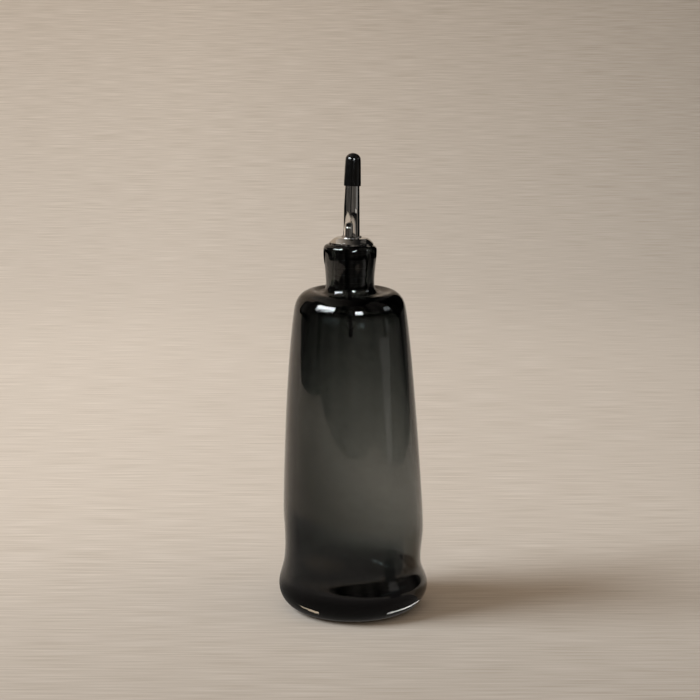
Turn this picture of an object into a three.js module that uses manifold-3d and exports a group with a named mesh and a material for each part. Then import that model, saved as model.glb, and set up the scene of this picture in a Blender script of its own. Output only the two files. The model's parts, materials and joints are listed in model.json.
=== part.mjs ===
// An oil cruet: a hand-blown smoked glass bottle, closed by a steel pourer in a finned stopper.
// Millimetres, +Z up. The origin is the centre of the ring that the bottle stands on.
import * as THREE from "three";
import { mergeVertices } from "three/addons/utils/BufferGeometryUtils.js";
import Module from "manifold-3d";

const wasm = await Module();
wasm.setup();

// Clearance between two pieces that are soldered, pressed or turned in one another
const CLEARANCE = 0.3;

// Bottle: radii from the foot up, and the rise from each one to the next
const FOOT_RADIUS = 28;
const FOOT_RING_WIDTH = 3;
const PUNT_DEPTH = 2;
const HEEL_RADIUS = 41.25;
const HEEL_RISE = 13.5;
const WAIST_RADIUS = 37.8;
const WAIST_RISE = 17.5;
const BELLY_RADIUS = 39;
const BELLY_RISE = 20;
const SHOULDER_RADIUS = 30.8;
const BODY_RISE = 118;
const SHOULDER_TAPER = 0.154;
const SHOULDER_RISE = 11.2;
const SHOULDER_FULLNESS = 9.3;
const NECK_FILLET = 4.1;
const NECK_RISE = 24.2;
const LIP_FLARE = 1.4;
const LIP_ROUNDING = 1.9;
const MOUTH_ROUNDING = 1;

// Bottle: thickness of the glass
const NECK_WALL = 3.4;
const SHOULDER_WALL = 4.5;
const BODY_WALL = 3.2;
const BASE_THICKNESS = 11;
const FLOOR_CORNER = 7;

// Bottle: what the blowing left uneven
const NECK_SWAY = -1.4;
const WAIST_TILT = 5;
const WAIST_SWAY = 0.5;
const POURER_LEAN = THREE.MathUtils.degToRad(3);
const LEAN_TOWARDS = THREE.MathUtils.degToRad(57);

// Pourer: the spout, the vent in front of it and the breather tube below the vent
const POURER_TURN = THREE.MathUtils.degToRad(9);
const SPOUT_FOOT_RADIUS = 4.5;
const SPOUT_BEND_RADIUS = 4.3;
const SPOUT_BEND_RISE = 17;
const SPOUT_TIP_RADIUS = 3.4;
const SPOUT_WALL = 0.8;
const SPOUT_LENGTH = 42;
const SPOUT_SETBACK = 2;
const SPOUT_SIDESTEP = -0.7;
const VENT_RADIUS = 2.15;
const VENT_WALL = 0.65;
const VENT_HEIGHT = 8.8;
const VENT_SLANT = THREE.MathUtils.degToRad(33);
const BREATHER_WALL = 0.4;
const BREATHER_SEAT = 4.5;
const BREATHER_DROP = 49.2;

// Pourer: the collar on the lip, the shank below it and the stopper round the shank
const COLLAR_SHEET = 0.8;
const COLLAR_LEDGE = 1.3;
const COLLAR_FLARE = 3.5;
const COLLAR_RIM = 0.6;
const COLLAR_RISE = 2.7;
const SHANK_WALL = 0.7;
const SHANK_DROP = 23;
const STOPPER_WALL = 1.15;
const STOPPER_DROP = 24;
const STOPPER_LEAD = 1.4;
const FIN_COUNT = 5;
const FIN_DEPTH = 0.8;
const FIN_ROOT = 1.6;
const FIN_TIP = 0.4;

// Cap on the spout's tip
const CAP_WALL = 0.55;
const CAP_GRIP = 13;
const CAP_CROWN = 3.6;

// Facets round each piece
const BOTTLE_SIDES = 40;
const ROUND_SIDES = 32;
const TUBE_SIDES = 16;

// Pourer radii, worked out from the spout outwards to the neck of the bottle
const spoutBore = SPOUT_FOOT_RADIUS - SPOUT_WALL;
const spoutWidest = Math.max(SPOUT_FOOT_RADIUS, SPOUT_BEND_RADIUS);
const ventOffset = spoutWidest + VENT_RADIUS + CLEARANCE - SPOUT_SETBACK;
const ventBore = VENT_RADIUS - VENT_WALL;
const breatherRadius = ventBore - CLEARANCE;
const ventReach = Math.hypot(ventOffset, SPOUT_SIDESTEP);
const shankBore = ventReach + breatherRadius + CLEARANCE;
const shankRadius = shankBore + SHANK_WALL;
const stopperBore = shankRadius + CLEARANCE;
const stopperRadius = stopperBore + STOPPER_WALL;
const finRadius = stopperRadius + FIN_DEPTH;
const neckBore = finRadius + CLEARANCE;
const collarTopRadius = ventReach + VENT_RADIUS + COLLAR_LEDGE;
const collarRimRadius = collarTopRadius + COLLAR_FLARE;

// Bottle radii and heights
const neckRadius = neckBore + NECK_WALL;
const lipRadius = neckRadius + LIP_FLARE;
const waistHeight = HEEL_RISE + WAIST_RISE;
const bellyHeight = waistHeight + BELLY_RISE;
const shoulderHeight = bellyHeight + BODY_RISE;
const neckHeight = shoulderHeight + SHOULDER_RISE;
const mouthHeight = neckHeight + NECK_RISE;

// Pourer heights along its own axis, counted from the mouth of the bottle
const collarFoot = CLEARANCE;
const coneFoot = collarFoot + COLLAR_RIM;
const collarTop = coneFoot + COLLAR_RISE;
const collarCeiling = collarTop - COLLAR_SHEET;
const spoutFoot = collarTop + CLEARANCE;
const spoutBend = spoutFoot + SPOUT_BEND_RISE;
const spoutTip = spoutFoot + SPOUT_LENGTH;
const capFoot = spoutTip - CAP_GRIP;
const capCeiling = spoutTip + CLEARANCE;

// Where the pourer's axis leaves the mouth, and its direction
const leanAlong = new THREE.Vector2(Math.cos(LEAN_TOWARDS), Math.sin(LEAN_TOWARDS));
const leanSlope = Math.tan(POURER_LEAN);
const mouthCentre = new THREE.Vector3(
  NECK_SWAY + leanSlope * NECK_RISE * leanAlong.x,
  leanSlope * NECK_RISE * leanAlong.y,
  mouthHeight,
);
const pourerAxis = new THREE.Vector3(
  Math.sin(POURER_LEAN) * leanAlong.x,
  Math.sin(POURER_LEAN) * leanAlong.y,
  Math.cos(POURER_LEAN),
);

const glass = new THREE.MeshStandardMaterial({
  color: 0x2a2b29,
  roughness: 0.05,
  metalness: 0,
  transparent: true,
  opacity: 0.7,
});
const polishedSteel = new THREE.MeshStandardMaterial({ color: 0xc9c6bf, roughness: 0.12, metalness: 1 });
const tubeSteel = new THREE.MeshStandardMaterial({ color: 0xb4b2ad, roughness: 0.3, metalness: 1 });
const blackStopper = new THREE.MeshStandardMaterial({ color: 0x121212, roughness: 0.6, metalness: 0 });
const blackRubber = new THREE.MeshStandardMaterial({ color: 0x0e0e0e, roughness: 0.45, metalness: 0 });

const at = (radius, height) => new THREE.Vector2(radius, height);

// Turns a profile of radius and height into a body of revolution about Z.
function revolve(profile, sides) {
  return new THREE.LatheGeometry(profile, sides).rotateX(Math.PI / 2);
}

// A ring's profile ends where it starts.
function ring(profile, sides) {
  return revolve([...profile, profile[0].clone()], sides);
}

function toSolid(geometry) {
  const bare = geometry.clone();
  bare.deleteAttribute("normal");
  bare.deleteAttribute("uv");
  const merged = mergeVertices(bare);
  const mesh = new wasm.Mesh({
    numProp: 3,
    vertProperties: merged.attributes.position.array,
    triVerts: new Uint32Array(merged.index.array),
  });
  return new wasm.Manifold(mesh);
}

function toGeometry(solid) {
  const mesh = solid.getMesh();
  const geometry = new THREE.BufferGeometry();
  geometry.setAttribute("position", new THREE.BufferAttribute(mesh.vertProperties, 3));
  geometry.setIndex(new THREE.BufferAttribute(mesh.triVerts, 1));
  geometry.computeVertexNormals();
  return geometry;
}

function named(name, geometry, material) {
  const mesh = new THREE.Mesh(geometry, material);
  mesh.name = name;
  return mesh;
}

// Chains curves into one outline, each with its own number of steps, without repeated points.
function outline(...curves) {
  const points = [];
  for (const [curve, steps] of curves) {
    const fresh = curve.getPoints(steps);
    points.push(...(points.length ? fresh.slice(1) : fresh));
  }
  return points;
}

const bend = (...points) => new THREE.CubicBezierCurve(...points);
const line = (from, to) => new THREE.LineCurve(from, to);

// A quarter of an ellipse about a centre, from one angle to the next.
function quarter(centre, across, up, fromAngle) {
  return new THREE.EllipseCurve(centre.x, centre.y, across, up, fromAngle, fromAngle + Math.PI / 2);
}

// The outside of the glass from the middle of the base to the top of the lip.
function bottleOutside() {
  const footInside = FOOT_RADIUS - FOOT_RING_WIDTH;
  const heelCentre = at(FOOT_RADIUS, HEEL_RISE);
  const heel = at(HEEL_RADIUS, HEEL_RISE);
  const waist = at(WAIST_RADIUS, waistHeight);
  const belly = at(BELLY_RADIUS, bellyHeight);
  const shoulder = at(SHOULDER_RADIUS, shoulderHeight);
  const root = at(neckRadius + NECK_FILLET, neckHeight);
  const neck = at(neckRadius, neckHeight + NECK_FILLET);
  const lip = at(lipRadius, mouthHeight - LIP_ROUNDING);
  const lipCentre = at(lipRadius - LIP_ROUNDING, mouthHeight - LIP_ROUNDING);
  const bodyPull = BODY_RISE / 4;
  return outline(
    [new THREE.QuadraticBezierCurve(at(0, PUNT_DEPTH), at(footInside / 2, PUNT_DEPTH), at(footInside, 0)), 4],
    [line(at(footInside, 0), at(FOOT_RADIUS, 0)), 1],
    [quarter(heelCentre, HEEL_RADIUS - FOOT_RADIUS, HEEL_RISE, -Math.PI / 2), 6],
    [
      bend(
        heel,
        at(heel.x, heel.y + WAIST_RISE * 0.35),
        at(waist.x, waist.y - WAIST_RISE * 0.5),
        waist,
      ),
      5,
    ],
    [
      bend(
        waist,
        at(waist.x, waist.y + BELLY_RISE * 0.4),
        at(belly.x, belly.y - BELLY_RISE * 0.25),
        belly,
      ),
      4,
    ],
    [
      bend(
        belly,
        at(belly.x, belly.y + BODY_RISE * 0.08),
        at(shoulder.x + SHOULDER_TAPER * bodyPull, shoulder.y - bodyPull),
        shoulder,
      ),
      7,
    ],
    [
      bend(
        shoulder,
        at(shoulder.x - SHOULDER_TAPER * SHOULDER_FULLNESS, shoulder.y + SHOULDER_FULLNESS),
        at(root.x + (shoulder.x - root.x) / 2, root.y),
        root,
      ),
      7,
    ],
    [bend(root, at(root.x - NECK_FILLET * 0.6, root.y), at(neck.x, neck.y - NECK_FILLET * 0.6), neck), 3],
    [bend(neck, at(neck.x, neck.y + NECK_RISE * 0.2), at(lip.x, lip.y - NECK_RISE * 0.25), lip), 4],
    [quarter(lipCentre, LIP_ROUNDING, LIP_ROUNDING, 0), 4],
  );
}

// The inside of the glass from the top of the lip down to the middle of the floor.
function bottleInside() {
  const mouthEdge = at(neckBore + MOUTH_ROUNDING, mouthHeight);
  const boreTop = at(neckBore, mouthHeight - MOUTH_ROUNDING);
  const boreFoot = at(neckBore, neckHeight);
  const shoulder = at(SHOULDER_RADIUS - BODY_WALL, shoulderHeight - BODY_WALL);
  const belly = at(BELLY_RADIUS - BODY_WALL, bellyHeight);
  const waist = at(WAIST_RADIUS - BODY_WALL, waistHeight);
  const floorEdge = at(waist.x - FLOOR_CORNER, BASE_THICKNESS);
  const shoulderPull = SHOULDER_RISE + BODY_WALL - SHOULDER_WALL / 2;
  const bodyPull = BODY_RISE / 4;
  return outline(
    [
      bend(
        mouthEdge,
        at(mouthEdge.x - MOUTH_ROUNDING * 0.55, mouthEdge.y),
        at(boreTop.x, boreTop.y + MOUTH_ROUNDING * 0.55),
        boreTop,
      ),
      3,
    ],
    [line(boreTop, boreFoot), 2],
    [
      bend(
        boreFoot,
        at(boreFoot.x, boreFoot.y - SHOULDER_WALL * 1.2),
        at(shoulder.x - SHOULDER_TAPER * shoulderPull, shoulder.y + shoulderPull),
        shoulder,
      ),
      7,
    ],
    [
      bend(
        shoulder,
        at(shoulder.x + SHOULDER_TAPER * bodyPull, shoulder.y - bodyPull),
        at(belly.x, belly.y + BODY_RISE * 0.08),
        belly,
      ),
      6,
    ],
    [
      bend(
        belly,
        at(belly.x, belly.y - BELLY_RISE * 0.25),
        at(waist.x, waist.y + BELLY_RISE * 0.4),
        waist,
      ),
      3,
    ],
    [
      bend(
        waist,
        at(waist.x + FLOOR_CORNER / 4, waist.y - (waist.y - floorEdge.y) * 0.6),
        at(floorEdge.x + FLOOR_CORNER, floorEdge.y),
        floorEdge,
      ),
      6,
    ],
    [line(floorEdge, at(0, BASE_THICKNESS)), 2],
  );
}

// Moves a point of the true round bottle to where the blown one has it: the body sways to the
// neck, the waist runs round at a tilt, the lip is slanted, and the bore leans with the pourer.
function blow(point, isInside) {
  const { smoothstep } = THREE.MathUtils;
  const { x, z } = point;
  const tiltIn = smoothstep(z, HEEL_RISE, bellyHeight);
  const tiltOut = smoothstep(z, bellyHeight, bellyHeight + BODY_RISE * 0.7);
  point.z -= WAIST_TILT * (x / BELLY_RADIUS) * (tiltIn - tiltOut);
  point.x += WAIST_SWAY * (tiltIn - tiltOut) + NECK_SWAY * smoothstep(z, waistHeight, shoulderHeight);
  if (isInside) {
    const shift = leanSlope * (z - neckHeight) * smoothstep(z, bellyHeight, shoulderHeight);
    point.x += shift * leanAlong.x;
    point.y += shift * leanAlong.y;
  }
  const fromMouth = at(point.x - mouthCentre.x, point.y - mouthCentre.y);
  point.z -= leanSlope * fromMouth.dot(leanAlong) * smoothstep(z, neckHeight + NECK_FILLET, mouthHeight);
}

function glassBottle() {
  const outside = bottleOutside();
  const profile = [...outside, ...bottleInside()];
  const geometry = revolve(profile, BOTTLE_SIDES);
  const place = geometry.attributes.position;
  const point = new THREE.Vector3();
  for (let i = 0; i < place.count; i += 1) {
    const isInside = i % profile.length >= outside.length;
    point.fromBufferAttribute(place, i);
    blow(point, isInside);
    place.setXYZ(i, point.x, point.y, point.z);
  }
  geometry.computeVertexNormals();
  return named("glass_bottle", geometry, glass);
}

// The cone's slope, for the skins that follow it inside the collar.
const coneSlope = COLLAR_RISE / COLLAR_FLARE;
const sheetDrop = COLLAR_SHEET * Math.hypot(1, coneSlope);
const flangeDrop = sheetDrop + CLEARANCE * Math.hypot(1, coneSlope);
const coneHeightAt = (radius) => coneFoot + (collarRimRadius - radius) * coneSlope;
const coneRadiusAt = (height) => collarRimRadius - (height - coneFoot) / coneSlope;

// The soft plug: a sleeve with fins that grip the bore, and a flange that the collar covers.
function stopper() {
  const flangeRadius = collarRimRadius - COLLAR_SHEET - CLEARANCE;
  const flangeTop = collarCeiling - CLEARANCE;
  const flangeEdge = Math.max(coneHeightAt(flangeRadius) - flangeDrop, collarFoot + CLEARANCE / 2);
  const finPitch = (STOPPER_DROP - STOPPER_LEAD) / (FIN_COUNT + 0.5);
  const profile = [at(stopperBore, -STOPPER_DROP), at(stopperRadius - STOPPER_WALL / 2, -STOPPER_DROP)];
  profile.push(at(stopperRadius, STOPPER_LEAD - STOPPER_DROP));
  for (let fin = 0; fin < FIN_COUNT; fin += 1) {
    const height = STOPPER_LEAD - STOPPER_DROP + finPitch * (fin + 0.5);
    profile.push(at(stopperRadius, height - FIN_ROOT / 2));
    profile.push(at(finRadius, height));
    profile.push(at(finRadius, height + FIN_TIP));
    profile.push(at(stopperRadius, height + FIN_ROOT / 2));
  }
  profile.push(at(stopperRadius, collarFoot));
  profile.push(at(flangeRadius, collarFoot));
  profile.push(at(flangeRadius, flangeEdge));
  profile.push(at(coneRadiusAt(flangeTop + flangeDrop), flangeTop));
  profile.push(at(stopperBore, flangeTop));
  return named("stopper", ring(profile, ROUND_SIDES), blackStopper);
}

// A round tool that cuts a hole along Z, centred in front of or behind the pourer's axis.
function drill(radius, behind, from, to) {
  const tool = new THREE.CylinderGeometry(radius, radius, to - from, TUBE_SIDES * 2);
  return tool.rotateX(Math.PI / 2).translate(SPOUT_SIDESTEP, behind, (from + to) / 2);
}

// A shallow steel cup, drilled under the spout and for the breather tube.
function collar() {
  const skirt = collarRimRadius - COLLAR_SHEET;
  const profile = [
    at(0, collarCeiling),
    at(coneRadiusAt(collarCeiling + sheetDrop), collarCeiling),
    at(skirt, coneHeightAt(skirt) - sheetDrop),
    at(skirt, collarFoot),
    at(collarRimRadius, collarFoot),
    at(collarRimRadius, coneFoot),
    at(collarTopRadius, collarTop),
    at(0, collarTop),
  ];
  const past = COLLAR_SHEET;
  const pourHole = drill(spoutBore, SPOUT_SETBACK, collarCeiling - past, collarTop + past);
  const ventHole = drill(breatherRadius + CLEARANCE, -ventOffset, collarCeiling - past, collarTop + past);
  const cup = toSolid(revolve(profile, ROUND_SIDES));
  const drilled = cup.subtract(toSolid(pourHole)).subtract(toSolid(ventHole));
  return named("collar", toGeometry(drilled), polishedSteel);
}

// A tube of one wall about the axis, through outer radii and heights given from its foot up.
function tube(outside, wall, sides) {
  const inside = outside.map((station) => at(station.x - wall, station.y));
  return ring([...outside, ...inside.reverse()], sides);
}

function shankTube() {
  const outside = [at(shankRadius, -SHANK_DROP), at(shankRadius, collarCeiling - CLEARANCE)];
  return named("shank_tube", tube(outside, SHANK_WALL, ROUND_SIDES), tubeSteel);
}

const spoutOutside = [
  at(SPOUT_FOOT_RADIUS, spoutFoot),
  at(SPOUT_BEND_RADIUS, spoutBend),
  at(SPOUT_TIP_RADIUS, spoutTip),
];

function spoutTube() {
  const geometry = tube(spoutOutside, SPOUT_WALL, ROUND_SIDES);
  return named("spout_tube", geometry.translate(SPOUT_SIDESTEP, SPOUT_SETBACK, 0), polishedSteel);
}

// The vent pipe's mouth is cut on a slant that faces away from the spout.
function ventPipe() {
  const top = spoutFoot + VENT_HEIGHT;
  const reach = VENT_RADIUS * 4;
  const pipe = tube([at(VENT_RADIUS, spoutFoot), at(VENT_RADIUS, top)], VENT_WALL, TUBE_SIDES);
  const cutter = new THREE.BoxGeometry(reach, reach * 2, reach);
  cutter.translate(0, 0, reach / 2).rotateX(VENT_SLANT).translate(0, VENT_RADIUS, top);
  const cut = toSolid(pipe).subtract(toSolid(cutter));
  return named("vent_pipe", toGeometry(cut).translate(SPOUT_SIDESTEP, -ventOffset, 0), polishedSteel);
}

function breatherTube() {
  const outside = [at(breatherRadius, -BREATHER_DROP), at(breatherRadius, spoutFoot + BREATHER_SEAT)];
  const geometry = tube(outside, BREATHER_WALL, TUBE_SIDES);
  return named("breather_tube", geometry.translate(SPOUT_SIDESTEP, -ventOffset, 0), tubeSteel);
}

// A thin rubber sleeve with a domed crown, stretched over the tip of the spout.
function tipCap() {
  const [foot, bent, tip] = spoutOutside;
  const upper = (height) => THREE.MathUtils.mapLinear(height, bent.y, tip.y, bent.x, tip.x);
  const lower = (height) => THREE.MathUtils.mapLinear(height, foot.y, bent.y, foot.x, bent.x);
  const insideAt = (height) => (height > bent.y ? upper(height) : lower(height)) + CLEARANCE;
  const gripped = [capCeiling, bent.y, capFoot].filter((height) => height >= capFoot);
  const crown = insideAt(capCeiling) + CAP_WALL;
  const profile = [
    at(0, capCeiling),
    ...gripped.map((height) => at(insideAt(height), height)),
    ...gripped.reverse().slice(0, -1).map((height) => at(insideAt(height) + CAP_WALL, height)),
    ...quarter(at(0, capCeiling), crown, CAP_CROWN, 0).getPoints(6),
  ];
  const geometry = revolve(profile, ROUND_SIDES);
  return named("tip_cap", geometry.translate(SPOUT_SIDESTEP, SPOUT_SETBACK, 0), blackRubber);
}

const pourer = new THREE.Group();
pourer.rotation.z = -POURER_TURN;
pourer.add(collar(), shankTube(), spoutTube(), ventPipe(), breatherTube(), tipCap());

const closure = new THREE.Group();
closure.position.copy(mouthCentre);
closure.quaternion.setFromUnitVectors(new THREE.Vector3(0, 0, 1), pourerAxis);
closure.add(stopper(), pourer);

const oilCruet = new THREE.Group();
oilCruet.add(glassBottle(), closure);

export default oilCruet;
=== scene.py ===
# %% [markdown]
# # A smoked glass oil cruet
#
# This lesson dresses an oil cruet: a hand-blown bottle of smoked glass, a steel pourer in a soft black
# stopper, and a rubber cap on the tip of the spout. The measured solids come in first, as a fixed frame
# with the right sizes and joints. Each later step then puts a smooth, finished piece in the place of
# one solid, so nothing has to be measured twice.

# %% Load the measured solids
import json
import math

import bmesh
import bpy
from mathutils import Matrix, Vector, noise


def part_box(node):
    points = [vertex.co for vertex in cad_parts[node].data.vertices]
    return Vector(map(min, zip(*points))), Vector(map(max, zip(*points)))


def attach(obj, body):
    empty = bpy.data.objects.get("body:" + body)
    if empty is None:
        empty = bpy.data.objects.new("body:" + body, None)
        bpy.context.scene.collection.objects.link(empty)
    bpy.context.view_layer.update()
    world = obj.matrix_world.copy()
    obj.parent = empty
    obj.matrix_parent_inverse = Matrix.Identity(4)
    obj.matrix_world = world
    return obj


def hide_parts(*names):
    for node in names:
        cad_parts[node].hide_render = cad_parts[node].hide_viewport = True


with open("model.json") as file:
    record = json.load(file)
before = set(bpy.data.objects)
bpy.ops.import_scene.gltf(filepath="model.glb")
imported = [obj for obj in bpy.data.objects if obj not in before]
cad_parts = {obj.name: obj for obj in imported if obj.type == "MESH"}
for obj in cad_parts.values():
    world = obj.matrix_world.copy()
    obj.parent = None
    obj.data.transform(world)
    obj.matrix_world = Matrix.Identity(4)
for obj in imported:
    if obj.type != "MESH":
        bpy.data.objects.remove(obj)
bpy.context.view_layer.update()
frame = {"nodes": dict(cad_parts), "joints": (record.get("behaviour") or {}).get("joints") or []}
nodes = frame["nodes"]
scene = bpy.context.scene
MM = 0.001
for name in sorted(nodes):
    low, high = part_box(name)
    print(name, "spans", [round(size / MM, 1) for size in high - low], "mm")

# %% [markdown]
# ## The camera
#
# The camera comes first, because every later choice is judged through it. It stands a little over a
# metre in front of the cruet and looks slightly down, with a long lens, so that the bottle's sides
# keep their true taper. The long lens also keeps the rings at the base and at the mouth almost equally
# flat, which a wide lens would not.

# %% Place the camera
CAMERA_SIDE = -1.44 * MM
CAMERA_BACK = 1114.4 * MM
CAMERA_UP = 373.1 * MM
CAMERA_PITCH = math.radians(11.507)
CAMERA_LENS = 106.5

camera = bpy.data.objects.new("camera", bpy.data.cameras.new("camera"))
camera.data.lens = CAMERA_LENS
camera.location = (CAMERA_SIDE, -CAMERA_BACK, CAMERA_UP)
camera.rotation_euler = (math.pi / 2 - CAMERA_PITCH, 0, 0)
scene.collection.objects.link(camera)
scene.camera = camera
scene.view_settings.view_transform = "Standard"
print("camera", [round(place, 3) for place in camera.location], "lens", CAMERA_LENS)

# %% [markdown]
# ## From facets to smooth skins
#
# The solids are made of flat triangles. A subdivision surface rounds a mesh beautifully if its faces
# are quads in tidy rows, so the first helper copies a solid, welds its corners and joins its triangles
# back into quads. Subdivision also draws a ring inwards a little, by a share that depends only on how
# many sides the ring has, and a second helper works out the share so that the copy can be swollen first.

# %% Copy a solid as quads
WELD = 0.001 * MM
FLAT_ANGLE = math.radians(40)
SHAPE_ANGLE = math.radians(75)
SKIN_LEVELS = 2


def new_piece(piece_name, work):
    """Turns a bmesh into a new object of the scene and frees the bmesh."""
    mesh = bpy.data.meshes.new(piece_name)
    work.to_mesh(mesh)
    work.free()
    piece = bpy.data.objects.new(piece_name, mesh)
    scene.collection.objects.link(piece)
    return piece


def quad_copy(node_name, piece_name):
    """Copies a solid into a new piece whose triangles are joined back into quads."""
    work = bmesh.new()
    work.from_mesh(nodes[node_name].data)
    bmesh.ops.remove_doubles(work, verts=work.verts, dist=WELD)
    bmesh.ops.join_triangles(
        work,
        faces=work.faces[:],
        angle_face_threshold=FLAT_ANGLE,
        angle_shape_threshold=SHAPE_ANGLE,
    )
    piece = new_piece(piece_name, work)
    mesh = piece.data
    mesh.materials.clear()
    for layer in ("custom_normal", "sharp_face", "sharp_edge"):
        if layer in mesh.attributes:
            mesh.attributes.remove(mesh.attributes[layer])
    quads = sum(1 for face in mesh.polygons if len(face.vertices) == 4)
    print(piece_name, "has", quads, "quads of", len(mesh.polygons), "faces")
    return piece


def drawn_in(sides):
    """The share of its radius that a ring of so many sides keeps when it is subdivided."""
    return 1 - (1 - math.cos(2 * math.pi / sides)) / 3


def smooth(piece):
    """Adds a subdivision surface and shades the piece smoothly."""
    piece.data.shade_smooth()
    skin = piece.modifiers.new("smooth_skin", "SUBSURF")
    skin.levels = SKIN_LEVELS
    skin.render_levels = SKIN_LEVELS
    return piece


# %% [markdown]
# ## The pourer's own axis
#
# The pourer leans by three degrees, so its parts are easier to shape about their own axis. The joint
# that turns the spout gives that axis: a point in the bottle's mouth and a direction. With them, every
# corner of a solid has a height along the axis and a distance from it, and the sizes of the collar and
# the spout can be read from their solids.

# %% Measure along the pourer's axis
turning = next(joint for joint in frame["joints"] if joint["name"] == "spout_turn")
mouth = Vector(turning["pos_m"])
up = Vector(turning["axis"]).normalized()


def height_of(place):
    """How far a place lies along the pourer's axis above the bottle's mouth."""
    return (place - mouth).dot(up)


def centre_of(node_name):
    """The point of the mouth's plane that lies under the middle of a solid's corners."""
    corners = [corner.co for corner in nodes[node_name].data.vertices]
    middle = sum(corners, Vector()) / len(corners)
    return middle - up * height_of(middle)


def rings_of(node_name, centre):
    """The rings of a solid as (height, inner radius, outer radius), from the lowest up."""
    rings = {}
    for corner in nodes[node_name].data.vertices:
        height = height_of(corner.co)
        radius = (corner.co - centre - up * height).length
        rings.setdefault(round(height / MM, 1), []).append(radius)
    return [(key * MM, min(rings[key]), max(rings[key])) for key in sorted(rings)]


spout_centre = centre_of("spout_tube")
vent_centre = centre_of("breather_tube")
to_front = (vent_centre - spout_centre).normalized()
across = to_front.cross(up)
for name, centre in (("spout_tube", spout_centre), ("collar", mouth)):
    for ring in rings_of(name, centre):
        print(name, "ring at", [round(size / MM, 2) for size in ring], "mm")

# %% [markdown]
# ## The blown bottle
#
# The bottle is one thick piece of glass with an outside and an inside, and both skins matter: light
# bends at each of them, and the colour comes from the thickness between them. A flat sheet with a glass
# look would be quicker, but it would have no dark base and no dark edges. The copy is swollen first, so
# that the subdivision brings its rings back to their true size.

# %% Copy the bottle
BOTTLE_SIDES = 40

bottle = quad_copy("glass_bottle", "blown_bottle")
swell = 1 / drawn_in(BOTTLE_SIDES)
for corner in bottle.data.vertices:
    corner.co.x *= swell
    corner.co.y *= swell


def eased(value, start, end):
    """A share that runs smoothly from 0 at the start to 1 at the end."""
    share = min(max((value - start) / (end - start), 0), 1)
    return share * share * (3 - 2 * share)


def is_inner(corner):
    """Whether a corner of the bottle lies on the inside, where the skin looks at the axis."""
    return corner.normal.x * corner.co.x + corner.normal.y * corner.co.y < 0


# %% [markdown]
# Blown glass has no even wall. It is thicker at the shoulder, where it cools first, and towards the
# heavy base, and on this bottle both sides came out thicker, the left one more. All of this is done on
# the inner skin alone, so the outline stays as measured while the grey gets its slow changes of depth.

# %% Give the wall its uneven thickness
FLOOR_TOP = 14 * MM
WAIST_TOP = 32 * MM
BODY_LOW = 66 * MM
BODY_HIGH = 105 * MM
SHOULDER_LOW = 168 * MM
LEFT_HEAVY = 1.75 * MM
SIDE_EXTRA = 0.01
SHOULDER_EXTRA = 1.5 * MM
WAIST_EXTRA = 0.8 * MM

stopper_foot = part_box("stopper")[0].z
inner_corners = [
    corner
    for corner in bottle.data.vertices
    if is_inner(corner) and FLOOR_TOP < corner.co.z < stopper_foot
]
for corner in inner_corners:
    height = corner.co.z
    fade_in = eased(height, FLOOR_TOP, WAIST_TOP)
    at_shoulder = eased(height, BODY_HIGH, SHOULDER_LOW)
    at_waist = fade_in * (1 - eased(height, WAIST_TOP, BODY_LOW))
    in_body = fade_in * (1 - eased(height, SHOULDER_LOW, stopper_foot))
    corner.co += corner.normal * (SHOULDER_EXTRA * at_shoulder + WAIST_EXTRA * at_waist)
    corner.co.x *= 1 - SIDE_EXTRA * in_body
    corner.co.x += LEFT_HEAVY * in_body
print(len(inner_corners), "corners of the inner skin moved")

# %% [markdown]
# The outside has its own small faults. The neck leans back, its root is sunk into the shoulder like a
# shallow dish, and its lip is drawn in softly towards the top. On the left of the front the hollow above
# the heel is shallower than elsewhere, and on the right the heel bulges a little more. None of this shows
# much in the outline, but it decides what the glass mirrors. Last, every corner is nudged in or out by a
# slow noise, a tenth of a millimetre or so, and the subdivision turns the nudges into gentle waves.

# %% Lean the neck, ease the hollow and make the glass wavy
NECK_ROOT = 180 * MM
BORE_EDGE = 10.5 * MM
LIP_EDGE = 12.5 * MM
NECK_LEAN = 0.08
ROOT_DROP = 2.2 * MM
ROOT_HEIGHT = 182 * MM
ROOT_TOP = 190 * MM
ROOT_EDGE = 17.2 * MM
ROOT_RIM = 22 * MM
LIP_FOOT = 195 * MM
LIP_START = 201 * MM
LIP_SWELL = 0.45 * MM
LIP_DRAW = 1.0 * MM
HOLLOW_HEIGHT = 29 * MM
HOLLOW_REACH = 16 * MM
HOLLOW_FILL = 1.75 * MM
HOLLOW_TURN = math.radians(-25)
HOLLOW_SPREAD = math.radians(78)
HEEL_HEIGHT = 12 * MM
HEEL_REACH = 13 * MM
HEEL_FILL = 1.0 * MM
HEEL_TURN = math.radians(90)
HEEL_SPREAD = math.radians(70)
WAVE_HEIGHT = 0.12 * MM
WAVE_LENGTH = 34 * MM
FOOT_HEIGHT = 2 * MM
LOOKS_DOWN = -0.1


def bump(distance, reach):
    """A round bump: 1 in the middle and 0 from the reach onwards."""
    return math.cos(min(abs(distance) / reach, 1) * math.pi / 2) ** 2


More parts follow.
